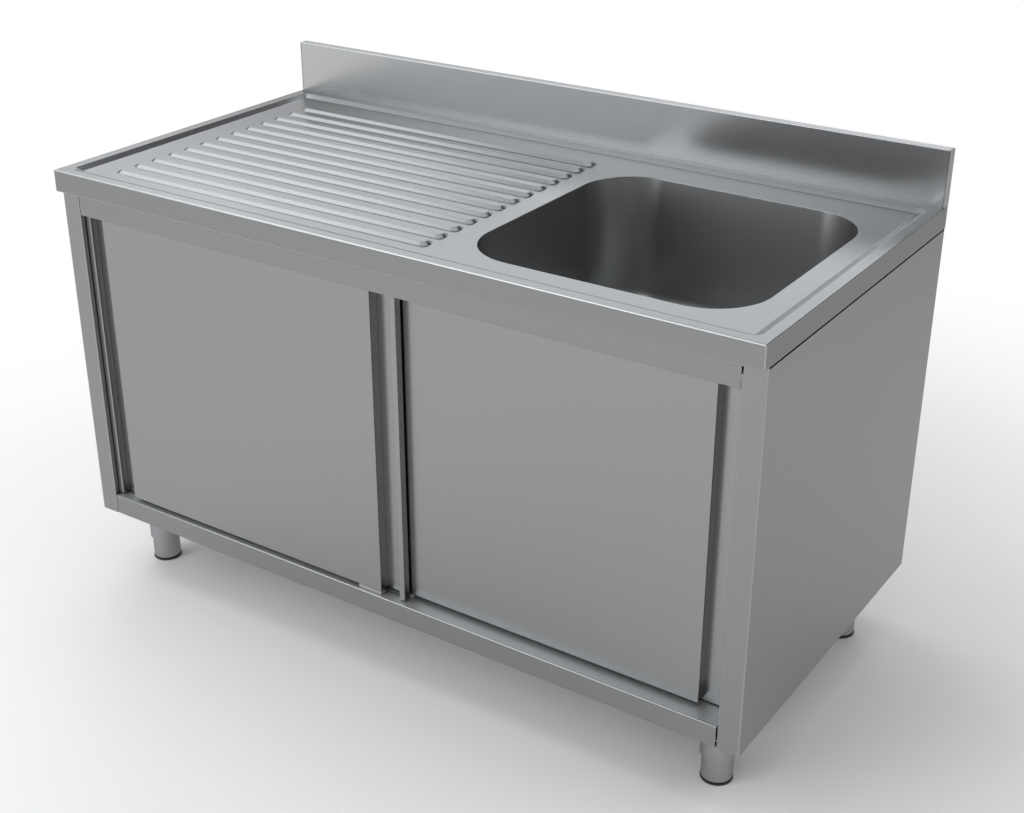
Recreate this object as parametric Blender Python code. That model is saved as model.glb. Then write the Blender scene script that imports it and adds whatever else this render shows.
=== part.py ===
# Stainless steel sink unit: a worktop with drainer and bowl, on a cabinet with two sliding doors.
# Metres, +Z up. The origin is on the floor under the middle. +X is to the right, -Y is the front.

from math import cos, floor, pi, sin

import bmesh
import bpy
from mathutils import Vector

# Overall sizes
WIDTH = 1.400
DEPTH = 0.700
LEG_HEIGHT = 0.127
CARCASS_HEIGHT = 0.660
LIP_HEIGHT = 0.040
SPLASH_HEIGHT = 0.100
SPLASH_DEPTH = 0.020
SPLASH_CAP = 0.003

# Clearances
SEAT_GAP = 0.0003
RUN_GAP = 0.0005
DOOR_SIDE_GAP = 0.0015

# Sheet gauges
TOP_GAUGE = 0.0015
BOWL_GAUGE = 0.0012
BODY_GAUGE = 0.0010
DOOR_GAUGE = 0.0010
HANGER_GAUGE = 0.0015
TRACK_GAUGE = 0.0012

# Worktop: flat rim, sloping step down to a sunken field, folded lip with a return under it
RIM_WIDTH = 0.020
RIM_SLOPE = 0.015
BACK_RIM_WIDTH = 0.017
FIELD_DROP = 0.006
FIELD_CORNER = 0.004
LIP_RETURN = 0.030

# Drainer ribs, pressed up out of the field
RIB_PITCH = 0.042
RIB_WIDTH = 0.030
RIB_SLOPE = 0.0075
RIB_HEIGHT = 0.005
RIB_FRONT_MARGIN = 0.042
RIB_BACK_MARGIN = 0.067
RIB_LEFT_MARGIN = 0.052
RIB_TO_BOWL = 0.0415
RIB_COUNT_SLACK = 0.001

# Bowl
BOWL_WIDTH = 0.500
BOWL_DEPTH = 0.250
BOWL_CORNER = 0.100
BOWL_FILLET = 0.040
BOWL_TAPER = 0.005
BOWL_FALL = 0.004
BOWL_FLANGE = 0.015
BOWL_RIGHT_MARGIN = 0.040
BOWL_FRONT_MARGIN = 0.041
BOWL_BACK_MARGIN = 0.072

# Waste outlet
DRAIN_HOLE_RADIUS = 0.026
DRAIN_FLANGE_RADIUS = 0.036
DRAIN_FLANGE_HEIGHT = 0.002
DRAIN_TAIL_RADIUS = 0.0245
DRAIN_TAIL_LENGTH = 0.055
DRAIN_BORE_RADIUS = 0.0195
DRAIN_SEAT_RADIUS = 0.042
STRAINER_RADIUS = 0.0222
STRAINER_SINK = 0.002
STRAINER_HEIGHT = 0.0015
STRAINER_HOLES = 8
STRAINER_HOLE_RADIUS = 0.003
STRAINER_HOLE_CIRCLE = 0.0125
GASKET_RADIUS = 0.038
GASKET_HEIGHT = 0.003
LOCKNUT_RADIUS = 0.039
LOCKNUT_HEIGHT = 0.010
LOCKNUT_SIDES = 6
COUPLING_RADIUS = 0.029
COUPLING_LAP = 0.015
COUPLING_FLOOR = 0.006
OUTLET_RADIUS = 0.020
OUTLET_BORE_RADIUS = 0.0175
OUTLET_LENGTH = 0.053

# Backing board and brace under the worktop
BOARD_HEIGHT = 0.016
BOARD_MARGIN = 0.006
BRACE_WIDTH = 0.036
BRACE_HEIGHT = 0.029
BRACE_TO_BOWL = 0.008

# Carcass
FRONT_OVERHANG = 0.015
BACK_INSET = 0.0024
STILE_WIDTH = 0.039
STILE_RETURN = 0.050
STILE_HEM = 0.025
SIDE_BACK_FLANGE = 0.030
SIDE_TOP_FLANGE = 0.024
SIDE_FLANGE_DROP = 0.0005
BASE_HEIGHT = 0.040
BASE_RETURN = 0.015
BACK_TOP_FLANGE = 0.020
TOP_RAIL_DROP = 0.042
TOP_RAIL_FLANGE = 0.051

# Sliding doors: a front panel on a back pan whose ends are folded into grip lips
DOOR_SETBACK = 0.005
DOOR_OVERLAP = 0.093
DOOR_PITCH = 0.024
DOOR_GAP = 0.0035
DOOR_TOP_DROP = 0.033
PANEL_RISE = 0.0075
PAN_RISE = 0.003
GRIP_WIDTH = 0.0365
GRIP_LIP_WIDTH = 0.0115
GRIP_LIP_SETBACK = 0.005
SKID_LENGTH = 0.050
SKID_DEPTH = 0.0125

# Door running gear
TRACK_HEIGHT = 0.023
TRACK_REACH = 0.008
TRACK_LIP = 0.005
TRACK_END_GAP = 0.003
LANE_DEPTH = 0.009
WHEEL_RADIUS = 0.009
WHEEL_TREAD_RADIUS = 0.007
WHEEL_WIDTH = 0.007
WHEEL_GROOVE_GAP = 0.0006
WHEEL_GROOVE_FLARE = 0.0004
AXLE_RADIUS = 0.002
AXLE_CLEARANCE = 0.0004
AXLE_HEAD_RADIUS = 0.0035
AXLE_HEAD_HEIGHT = 0.001
HANGER_LENGTH = 0.040
HANGER_INSET = 0.100
HANGER_FOOT = 0.012
HANGER_HEAD = 0.005
GUIDE_LENGTH = 0.060
GUIDE_WALL = 0.002
GUIDE_HEIGHT = 0.0065
GUIDE_FLOOR = 0.0017
GUIDE_GAP = 0.0006

# Feet
FOOT_SIDE_INSET = 0.074
FOOT_FRONT_INSET = 0.086
FOOT_BACK_INSET = 0.091
FOOT_RAIL_WIDTH = 0.056
FOOT_RAIL_FLANGE = 0.006
FOOT_RAIL_END_GAP = 0.003
SOCKET_RADIUS = 0.030
SOCKET_FLANGE_RADIUS = 0.036
SOCKET_FLANGE_HEIGHT = 0.003
SOCKET_LENGTH = 0.078
FOOT_RADIUS = 0.0265
FOOT_STEM_RADIUS = 0.008
FOOT_TRAVEL = 0.030
FOOT_ENGAGEMENT = 0.014
PAD_RADIUS = 0.0275
PAD_HEIGHT = 0.004

# Facets
ROUND_STEPS = 32
SMALL_STEPS = 20
CORNER_STEPS = 6
FILLET_STEPS = 4
RIB_END_STEPS = 6
SHARP_ANGLE = pi / 6
WELD_DISTANCE = 0.000001

# Levels
CARCASS_BOTTOM_Z = LEG_HEIGHT
CARCASS_TOP_Z = CARCASS_BOTTOM_Z + CARCASS_HEIGHT
TOP_Z = CARCASS_TOP_Z + LIP_HEIGHT
FIELD_Z = TOP_Z - FIELD_DROP
UNDER_FIELD_Z = FIELD_Z - TOP_GAUGE - SEAT_GAP
BOWL_SEAT_Z = FIELD_Z - BOWL_DEPTH
BASE_TOP_Z = CARCASS_BOTTOM_Z + BASE_HEIGHT
FRAME_TOP_Z = CARCASS_TOP_Z - SEAT_GAP
TRACK_TOP_Z = FRAME_TOP_Z - BODY_GAUGE - SEAT_GAP
TRACK_BOTTOM_Z = TRACK_TOP_Z - TRACK_HEIGHT
WHEEL_Z = TRACK_BOTTOM_Z + TRACK_LIP + SEAT_GAP + WHEEL_TREAD_RADIUS
DOOR_TOP_Z = CARCASS_TOP_Z - DOOR_TOP_DROP
PANEL_BOTTOM_Z = BASE_TOP_Z + PANEL_RISE
PAN_BOTTOM_Z = BASE_TOP_Z + PAN_RISE

# Plan places
FRONT_Y = -DEPTH / 2 + FRONT_OVERHANG
BACK_Y = DEPTH / 2 - BACK_INSET
FIELD_LEFT_X = -WIDTH / 2 + RIM_WIDTH + RIM_SLOPE
FIELD_RIGHT_X = -FIELD_LEFT_X
FIELD_FRONT_Y = -DEPTH / 2 + RIM_WIDTH + RIM_SLOPE
FIELD_BACK_Y = DEPTH / 2 - SPLASH_DEPTH - BACK_RIM_WIDTH - RIM_SLOPE
BOWL_LENGTH = FIELD_BACK_Y - FIELD_FRONT_Y - BOWL_FRONT_MARGIN - BOWL_BACK_MARGIN
BOWL_X = FIELD_RIGHT_X - BOWL_RIGHT_MARGIN - BOWL_WIDTH / 2
BOWL_Y = FIELD_FRONT_Y + BOWL_FRONT_MARGIN + BOWL_LENGTH / 2
BOWL_LEFT_X = BOWL_X - BOWL_WIDTH / 2
BRACE_RIGHT_X = BOWL_LEFT_X - BOWL_FLANGE - BRACE_TO_BOWL
BRACE_LEFT_X = BRACE_RIGHT_X - BRACE_WIDTH
OPENING_HALF = WIDTH / 2 - STILE_WIDTH
INNER_HALF = OPENING_HALF - SEAT_GAP
DOOR_WIDTH = (2 * (OPENING_HALF - DOOR_SIDE_GAP) + DOOR_OVERLAP) / 2
PANEL_WIDTH = DOOR_WIDTH - 2 * (GRIP_WIDTH + GRIP_LIP_WIDTH)
DOOR_X = OPENING_HALF - DOOR_SIDE_GAP - DOOR_WIDTH / 2
FRONT_DOOR_Y = FRONT_Y + DOOR_SETBACK
REAR_DOOR_Y = FRONT_DOOR_Y + DOOR_PITCH
DOOR_DEPTH = DOOR_PITCH - DOOR_GAP
PANEL_BACK = DOOR_DEPTH - DOOR_GAUGE - SEAT_GAP
FOOT_X = WIDTH / 2 - FOOT_SIDE_INSET
FOOT_FRONT_Y = FRONT_Y + FOOT_FRONT_INSET
FOOT_BACK_Y = BACK_Y - FOOT_BACK_INSET


def clear_scene():
    for old in list(bpy.data.objects):
        bpy.data.objects.remove(old, do_unlink=True)


def make_finish(name, color, roughness, metallic):
    material = bpy.data.materials.new(name)
    material.use_nodes = True
    shader = material.node_tree.nodes["Principled BSDF"]
    shader.inputs["Base Color"].default_value = (*color, 1.0)
    shader.inputs["Roughness"].default_value = roughness
    shader.inputs["Metallic"].default_value = metallic
    return material


def add_piece(name, bm, finish, location=(0, 0, 0), rotation=(0, 0, 0), parent=None):
    mesh = bpy.data.meshes.new(name)
    bm.to_mesh(mesh)
    bm.free()
    mesh.materials.append(finish)
    piece = bpy.data.objects.new(name, mesh)
    piece.location = location
    piece.rotation_euler = rotation
    piece.parent = parent
    bpy.context.collection.objects.link(piece)
    return piece


def add_empty(name, location):
    empty = bpy.data.objects.new(name, None)
    empty.location = location
    bpy.context.collection.objects.link(empty)
    return empty


def add_tool(piece, bm, operation):
    finish = piece.data.materials[0]
    tool = add_piece(piece.name + "_tool", bm, finish, piece.location, piece.rotation_euler, piece.parent)
    tool.hide_render = True
    tool.display_type = "WIRE"
    boolean = piece.modifiers.new(operation.title(), "BOOLEAN")
    boolean.operation = operation
    boolean.object = tool


def shade_round(piece):
    piece.data.shade_smooth()
    piece.data.set_sharp_from_angle(angle=SHARP_ANGLE)


def add_gauge(piece, gauge):
    solidify = piece.modifiers.new("Gauge", "SOLIDIFY")
    solidify.thickness = gauge
    solidify.offset = -1.0
    solidify.use_even_offset = True
    solidify.use_quality_normals = True


def close_solid(bm):
    bmesh.ops.remove_doubles(bm, verts=bm.verts, dist=WELD_DISTANCE)
    bmesh.ops.recalc_face_normals(bm, faces=bm.faces)
    return bm


# The shown side of an open sheet faces the given way, and its gauge lies behind it.
def face_sheet(bm, direction):
    bmesh.ops.recalc_face_normals(bm, faces=bm.faces)
    facing = sum(face.normal.dot(direction) * face.calc_area() for face in bm.faces)
    if facing < 0:
        bmesh.ops.reverse_faces(bm, faces=bm.faces)
    return bm


def circle(radius, steps, center=(0, 0)):
    angles = [2 * pi * step / steps for step in range(steps)]
    return [(center[0] + radius * cos(angle), center[1] + radius * sin(angle)) for angle in angles]


def rounded_rectangle(low, high, radius, steps):
    points = []
    corners = [(high[0], high[1], 0), (low[0], high[1], 1), (low[0], low[1], 2), (high[0], low[1], 3)]
    for x, y, quarter in corners:
        center_x = x - radius if x == high[0] else x + radius
        center_y = y - radius if y == high[1] else y + radius
        for step in range(steps + 1):
            angle = (quarter + step / steps) * pi / 2
            points.append((center_x + radius * cos(angle), center_y + radius * sin(angle)))
    return points


def rectangle(low, high):
    return [(high[0], high[1]), (low[0], high[1]), (low[0], low[1]), (high[0], low[1])]


# A sheet's cross-section: the path is its outer skin, and its gauge lies to the right of the path.
def fold(path, gauge):
    points = [Vector(point) for point in path]
    normals = []
    for start, end in zip(points, points[1:]):
        along = (end - start).normalized()
        normals.append(Vector((along.y, -along.x)))
    inner = []
    for index, point in enumerate(points):
        before = normals[max(index - 1, 0)]
        after = normals[min(index, len(normals) - 1)]
        inner.append(point + (before + after) * gauge / (1 + before.dot(after)))
    return [tuple(point) for point in points + inner[::-1]]


# An outline in the plane across an axis, drawn out between two places on it.
def prism(outline, axis, low, high):
    bm = bmesh.new()
    slot = "XYZ".index(axis)
    near = [bm.verts.new((*point[:slot], low, *point[slot:])) for point in outline]
    far = [bm.verts.new((*point[:slot], high, *point[slot:])) for point in outline]
    bm.faces.new(near)
    bm.faces.new(far)
    skin(bm, near, far)
    return close_solid(bm)


def block(low, high):
    return prism(rectangle(low[:2], high[:2]), "Z", low[2], high[2])


# A closed outline of radius and height, turned round Z.
def turned(outline, steps):
    bm = bmesh.new()
    verts = [bm.verts.new((radius, 0, height)) for radius, height in outline]
    edges = [bm.edges.new(pair) for pair in zip(verts, verts[1:] + verts[:1])]
    edges = [edge for edge in edges if max(vert.co.x for vert in edge.verts) > 0]
    geometry = list(dict.fromkeys(vert for edge in edges for vert in edge.verts)) + edges
    about = {"axis": (0, 0, 1), "cent": (0, 0, 0), "angle": 2 * pi}
    bmesh.ops.spin(bm, geom=geometry, steps=steps, use_merge=True, **about)
    loose = [edge for edge in bm.edges if not edge.link_faces]
    bmesh.ops.delete(bm, geom=loose, context="EDGES")
    return close_solid(bm)


def add_loop(bm, points, height):
    verts = [bm.verts.new((x, y, height)) for x, y in points]
    for pair in zip(verts, verts[1:] + verts[:1]):
        bm.edges.new(pair)
    return verts


def skin(bm, lower, upper):
    pairs = list(zip(lower, upper))
    for (a, b), (c, d) in zip(pairs, pairs[1:] + pairs[:1]):
        bm.faces.new((a, c, d, b))


def fill_between(bm, loops):
    edges = [bm.edges.get(pair) for loop in loops for pair in zip(loop, loop[1:] + loop[:1])]
    bmesh.ops.triangle_fill(bm, use_beauty=True, use_dissolve=False, edges=edges)


# A flat plate with holes through it.
def pierced_plate(outline, holes, low, high):
    bm = bmesh.new()
    loops = [add_loop(bm, points, low) for points in [outline] + holes]
    fill_between(bm, loops)
    top = bmesh.ops.extrude_face_region(bm, geom=bm.faces[:])
    risen = [item for item in top["geom"] if isinstance(item, bmesh.types.BMVert)]
    bmesh.ops.translate(bm, verts=risen, vec=(0, 0, high - low))
    return close_solid(bm)


def stadium(left, right, center, width, steps):
    radius = width / 2
    points = []
    for middle, start in ((right - radius, -pi / 2), (left + radius, pi / 2)):
        for step in range(steps + 1):
            angle = start + pi * step / steps
            points.append((middle + radius * cos(angle), center + radius * sin(angle)))
    return points


def bowl_outline(inset):
    low = (BOWL_LEFT_X + inset, BOWL_Y - BOWL_LENGTH / 2 + inset)
    high = (BOWL_LEFT_X + BOWL_WIDTH - inset, BOWL_Y + BOWL_LENGTH / 2 - inset)
    return rounded_rectangle(low, high, BOWL_CORNER - inset, CORNER_STEPS)


def add_ribs(bm):
    room = FIELD_BACK_Y - FIELD_FRONT_Y - RIB_FRONT_MARGIN - RIB_BACK_MARGIN
    count = floor(room / RIB_PITCH + RIB_COUNT_SLACK) + 1
    left = FIELD_LEFT_X + RIB_LEFT_MARGIN
    right = BOWL_LEFT_X - RIB_TO_BOWL
    feet = []
    for index in range(count):
        center = FIELD_FRONT_Y + RIB_FRONT_MARGIN + index * RIB_PITCH
        foot = add_loop(bm, stadium(left, right, center, RIB_WIDTH, RIB_END_STEPS), FIELD_Z)
        crown_ends = (left + RIB_SLOPE, right - RIB_SLOPE)
        crown_outline = stadium(*crown_ends, center, RIB_WIDTH - 2 * RIB_SLOPE, RIB_END_STEPS)
        crown = add_loop(bm, crown_outline, FIELD_Z + RIB_HEIGHT)
        skin(bm, foot, crown)
        bm.faces.new(crown)
        feet.append(foot)
    return feet


def make_worktop(steel):
    bm = bmesh.new()
    low, high = (FIELD_LEFT_X, FIELD_FRONT_Y), (FIELD_RIGHT_X, FIELD_BACK_Y)
    rim_low = (low[0] - RIM_SLOPE, low[1] - RIM_SLOPE)
    rim_high = (high[0] + RIM_SLOPE, high[1] + RIM_SLOPE)
    field = add_loop(bm, rounded_rectangle(low, high, FIELD_CORNER, CORNER_STEPS), FIELD_Z)
    rim = add_loop(bm, rounded_rectangle(rim_low, rim_high, FIELD_CORNER + RIM_SLOPE, CORNER_STEPS), TOP_Z)
    edge_low, edge_high = (-WIDTH / 2, -DEPTH / 2), (WIDTH / 2, DEPTH / 2)
    return_low = (edge_low[0] + LIP_RETURN, edge_low[1] + LIP_RETURN)
    return_high = (edge_high[0] - LIP_RETURN, edge_high[1] - LIP_RETURN)
    edge = add_loop(bm, rectangle(edge_low, edge_high), TOP_Z)
    lip = add_loop(bm, rectangle(edge_low, edge_high), CARCASS_TOP_Z)
    lip_return = add_loop(bm, rectangle(return_low, return_high), CARCASS_TOP_Z)
    cutout = add_loop(bm, bowl_outline(0), FIELD_Z)
    ribs = add_ribs(bm)
    fill_between(bm, [field, cutout] + ribs)
    skin(bm, field, rim)
    fill_between(bm, [rim, edge])
    skin(bm, edge, lip)
    skin(bm, lip, lip_return)
    worktop = add_piece("worktop", face_sheet(bm, Vector((0, 0, 1))), steel)
    add_gauge(worktop, TOP_GAUGE)


def make_splashback(steel):
    foot_z = TOP_Z + SEAT_GAP
    crown_z = TOP_Z + SPLASH_HEIGHT
    front, back = DEPTH / 2 - SPLASH_DEPTH, DEPTH / 2
    half = WIDTH / 2 - SPLASH_CAP - SEAT_GAP
    path = [(front, foot_z), (front, crown_z), (back, crown_z), (back, foot_z)]
    add_piece("splashback", prism(fold(path, BODY_GAUGE), "X", -half, half), steel)
    for side, sign in (("left", -1), ("right", 1)):
        inner, outer = sorted((sign * (WIDTH / 2 - SPLASH_CAP), sign * WIDTH / 2))
        add_piece("splashback_end_" + side, block((inner, front, foot_z), (outer, back, crown_z)), steel)


def make_bowl(steel):
    bm = bmesh.new()
    flange = add_loop(bm, bowl_outline(-BOWL_FLANGE), UNDER_FIELD_Z)
    loops = [flange, add_loop(bm, bowl_outline(0), UNDER_FIELD_Z)]
    floor_z = BOWL_SEAT_Z + BOWL_FALL
    for step in range(FILLET_STEPS + 1):
        angle = step / FILLET_STEPS * pi / 2
        inset = BOWL_TAPER + BOWL_FILLET * (1 - cos(angle))
        loops.append(add_loop(bm, bowl_outline(inset), floor_z + BOWL_FILLET * (1 - sin(angle))))
    for outer, inner in zip(loops, loops[1:]):
        skin(bm, outer, inner)
    middle = (BOWL_X, BOWL_Y)
    seat = add_loop(bm, circle(DRAIN_SEAT_RADIUS, ROUND_STEPS, middle), BOWL_SEAT_Z)
    hole = add_loop(bm, circle(DRAIN_HOLE_RADIUS, ROUND_STEPS, middle), BOWL_SEAT_Z)
    fill_between(bm, [loops[-1], seat])
    skin(bm, seat, hole)
    bowl = add_piece("sink_bowl", face_sheet(bm, Vector((0, 0, 1))), steel)
    add_gauge(bowl, BOWL_GAUGE)
    shade_round(bowl)


def make_drain(steel, brass, rubber, plastic):
    flange_z = BOWL_SEAT_Z + SEAT_GAP
    tail_z = -DRAIN_TAIL_LENGTH
    recess_radius = STRAINER_RADIUS + SEAT_GAP
    crown_radius = DRAIN_FLANGE_RADIUS - DRAIN_FLANGE_HEIGHT
    flange = [
        (DRAIN_BORE_RADIUS, tail_z), (DRAIN_TAIL_RADIUS, tail_z), (DRAIN_TAIL_RADIUS, 0),
        (DRAIN_FLANGE_RADIUS, 0), (crown_radius, DRAIN_FLANGE_HEIGHT), (recess_radius, DRAIN_FLANGE_HEIGHT),
        (recess_radius, -STRAINER_SINK), (DRAIN_BORE_RADIUS, -STRAINER_SINK),
    ]
    place = (BOWL_X, BOWL_Y, flange_z)
    shade_round(add_piece("drain_flange", turned(flange, ROUND_STEPS), steel, place))

    holes = [circle(STRAINER_HOLE_RADIUS, SMALL_STEPS)]
    for center in circle(STRAINER_HOLE_CIRCLE, STRAINER_HOLES):
        holes.append(circle(STRAINER_HOLE_RADIUS, SMALL_STEPS, center))
    disc = circle(STRAINER_RADIUS, ROUND_STEPS)
    disc_z = SEAT_GAP - STRAINER_SINK
    strainer = pierced_plate(disc, holes, disc_z, disc_z + STRAINER_HEIGHT)
    add_piece("drain_strainer", strainer, steel, place)

    thread_radius = DRAIN_TAIL_RADIUS + SEAT_GAP
    gasket_top = -2 * SEAT_GAP - BOWL_GAUGE
    gasket_low = gasket_top - GASKET_HEIGHT
    gasket = rectangle((thread_radius, gasket_low), (GASKET_RADIUS, gasket_top))
    shade_round(add_piece("drain_gasket", turned(gasket, ROUND_STEPS), rubber, place))

    nut_top = gasket_low - SEAT_GAP
    hexagon, thread = circle(LOCKNUT_RADIUS, LOCKNUT_SIDES), circle(thread_radius, ROUND_STEPS)
    nut = pierced_plate(hexagon, [thread], nut_top - LOCKNUT_HEIGHT, nut_top)
    add_piece("drain_locknut", nut, brass, place)

    shoulder = tail_z - SEAT_GAP
    coupling_floor = shoulder - COUPLING_FLOOR
    outlet_low = coupling_floor - OUTLET_LENGTH
    coupling_top = tail_z + COUPLING_LAP
    outlet = [
        (thread_radius, coupling_top), (thread_radius, shoulder), (OUTLET_BORE_RADIUS, shoulder),
        (OUTLET_BORE_RADIUS, outlet_low), (OUTLET_RADIUS, outlet_low), (OUTLET_RADIUS, coupling_floor),
        (COUPLING_RADIUS, coupling_floor), (COUPLING_RADIUS, coupling_top),
    ]
    shade_round(add_piece("drain_outlet", turned(outlet, ROUND_STEPS), plastic, place))


def make_underframe(board_finish, steel):
    front, back = FIELD_FRONT_Y + BOARD_MARGIN, FIELD_BACK_Y - BOARD_MARGIN
    board_low = (FIELD_LEFT_X + BOARD_MARGIN, front, UNDER_FIELD_Z - BOARD_HEIGHT)
    board_high = (BRACE_LEFT_X - BOARD_MARGIN, back, UNDER_FIELD_Z)
    add_piece("backing_board", block(board_low, board_high), board_finish)
    brace_low = UNDER_FIELD_Z - BRACE_HEIGHT
    path = [
        (BRACE_RIGHT_X, UNDER_FIELD_Z), (BRACE_RIGHT_X, brace_low),
        (BRACE_LEFT_X, brace_low), (BRACE_LEFT_X, UNDER_FIELD_Z),
    ]
    add_piece("worktop_brace", prism(fold(path, BODY_GAUGE), "Y", front, back), steel)


def make_side_panel(side, sign, steel):
    outer, opening = WIDTH / 2, OPENING_HALF
    return_y = FRONT_Y + STILE_RETURN
    path = [
        (opening + STILE_HEM, return_y), (opening, return_y), (opening, FRONT_Y),
        (outer, FRONT_Y), (outer, BACK_Y), (outer - SIDE_BACK_FLANGE, BACK_Y),
    ]
    outline = [(sign * x, y) for x, y in fold(path[::-1], BODY_GAUGE)]
    panel = add_piece("side_panel_" + side, prism(outline, "Z", CARCASS_BOTTOM_Z, FRAME_TOP_Z), steel)
    flange_top = FRAME_TOP_Z - SIDE_FLANGE_DROP
    inner, rooted = sorted((sign * (outer - SIDE_TOP_FLANGE), sign * (outer - BODY_GAUGE / 2)))
    flange_low = (inner, return_y + BODY_GAUGE, flange_top - BODY_GAUGE)
    flange_high = (rooted, BACK_Y - BODY_GAUGE - BACK_TOP_FLANGE - 2 * SEAT_GAP, flange_top)
    add_tool(panel, block(flange_low, flange_high), "UNION")


# The cabinet floor, with its front and back edges folded down and under.
def make_base_panel(steel):
    bm = bmesh.new()
    wide = WIDTH / 2 - BODY_GAUGE - SEAT_GAP
    notch_y = FRONT_Y + STILE_RETURN + SEAT_GAP
    back_y = BACK_Y - 2 * BODY_GAUGE - 2 * SEAT_GAP
    right = [(INNER_HALF, FRONT_Y), (INNER_HALF, notch_y), (wide, notch_y), (wide, back_y)]
    top = add_loop(bm, right + [(-x, y) for x, y in reversed(right)], BASE_TOP_Z)
    bm.faces.new(top)
    for ends, under in (((top[-1], top[0]), BASE_RETURN), ((top[3], top[4]), -BASE_RETURN)):
        edge = bm.edges.get(ends)
        for move in ((0, 0, -BASE_HEIGHT), (0, under, 0)):
            folded = bmesh.ops.extrude_edge_only(bm, edges=[edge])["geom"]
            edge = next(item for item in folded if isinstance(item, bmesh.types.BMEdge))
            bmesh.ops.translate(bm, verts=edge.verts, vec=move)
    base = add_piece("base_panel", face_sheet(bm, Vector((0, 0, 1))), steel)
    add_gauge(base, BODY_GAUGE)


def make_back_panel(steel):
    skin_y = BACK_Y - BODY_GAUGE - SEAT_GAP
    half = WIDTH / 2 - BODY_GAUGE - SEAT_GAP
    path = [(skin_y - BACK_TOP_FLANGE, FRAME_TOP_Z), (skin_y, FRAME_TOP_Z), (skin_y, CARCASS_BOTTOM_Z)]
    add_piece("back_panel", prism(fold(path, BODY_GAUGE), "X", -half, half), steel)


def make_top_rail(steel):
    low_z = CARCASS_TOP_Z - TOP_RAIL_DROP
    path = [(FRONT_Y, low_z), (FRONT_Y, FRAME_TOP_Z), (FRONT_Y + TOP_RAIL_FLANGE, FRAME_TOP_Z)]
    add_piece("top_rail", prism(fold(path, BODY_GAUGE), "X", -INNER_HALF, INNER_HALF), steel)


def make_door_track(metal):
    lanes = [FRONT_DOOR_Y + LANE_DEPTH, REAR_DOOR_Y + LANE_DEPTH]
    top, low, half_gauge = TRACK_TOP_Z, TRACK_BOTTOM_Z, TRACK_GAUGE / 2
    outline = [(lanes[0] - TRACK_REACH, top), (lanes[1] + TRACK_REACH, top)]
    for lane in reversed(lanes):
        web = lane + TRACK_REACH
        if lane != lanes[1]:
            outline.append((web, top - TRACK_GAUGE))
        outline += [
            (web, low), (lane - half_gauge, low), (lane - half_gauge, low + TRACK_LIP),
            (lane + half_gauge, low + TRACK_LIP), (lane + half_gauge, low + TRACK_GAUGE),
            (web - TRACK_GAUGE, low + TRACK_GAUGE), (web - TRACK_GAUGE, top - TRACK_GAUGE),
        ]
    outline.append((lanes[0] - TRACK_REACH, top - TRACK_GAUGE))
    half = INNER_HALF - TRACK_END_GAP
    add_piece("door_track", prism(outline, "X", -half, half), metal)


# A slotted block on the cabinet floor that the lower edge of a door's back pan runs through.
def make_floor_guide(name, door_y, nylon):
    slot_front = door_y + DOOR_DEPTH - DOOR_GAUGE - GUIDE_GAP
    slot_back = door_y + DOOR_DEPTH + GUIDE_GAP
    low = BASE_TOP_Z + SEAT_GAP
    high, slot_z = low + GUIDE_HEIGHT, low + GUIDE_FLOOR
    outline = [
        (slot_front - GUIDE_WALL, low), (slot_back + GUIDE_WALL, low), (slot_back + GUIDE_WALL, high),
        (slot_back, high), (slot_back, slot_z), (slot_front, slot_z), (slot_front, high),
        (slot_front - GUIDE_WALL, high),
    ]
    add_piece(name, prism(outline, "X", -GUIDE_LENGTH / 2, GUIDE_LENGTH / 2), nylon)


def make_door_panel(name, steel, door):
    half = PANEL_WIDTH / 2
    bm = block((-half, 0, PANEL_BOTTOM_Z), (half, PANEL_BACK, DOOR_TOP_Z))
    open_back = max(bm.faces, key=lambda face: face.normal.y)
    bmesh.ops.delete(bm, geom=[open_back], context="FACES_ONLY")
    panel = add_piece(name, face_sheet(bm, Vector((0, -1, 0))), steel, parent=door)
    add_gauge(panel, DOOR_GAUGE)


def make_door_pan(name, steel, door):
    half = DOOR_WIDTH / 2
    lip_inner = half - GRIP_LIP_WIDTH
    lip_y = GRIP_LIP_SETBACK
    end = [(lip_inner, PANEL_BACK), (lip_inner, lip_y), (half, lip_y), (half, DOOR_DEPTH)]
    path = [(-x, y) for x, y in end] + end[::-1]
    add_piece(name, prism(fold(path, DOOR_GAUGE), "Z", PAN_BOTTOM_Z, DOOR_TOP_Z), steel, parent=door)


def make_hanger(name, x, zinc, door):
    plate_front = LANE_DEPTH - WHEEL_WIDTH / 2 - RUN_GAP - HANGER_GAUGE
    foot_z = DOOR_TOP_Z + SEAT_GAP
    head_z = WHEEL_Z + HANGER_HEAD
    path = [(plate_front + HANGER_FOOT, foot_z), (plate_front, foot_z), (plate_front, head_z)]
    half = HANGER_LENGTH / 2
    hanger = add_piece(name, prism(fold(path, HANGER_GAUGE), "X", x - half, x + half), zinc, parent=door)
    hole = prism(
        circle(AXLE_RADIUS + AXLE_CLEARANCE, SMALL_STEPS, (x, WHEEL_Z)), "Y",
        plate_front - HANGER_GAUGE, plate_front + 2 * HANGER_GAUGE,
    )
    add_tool(hanger, hole, "DIFFERENCE")


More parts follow.
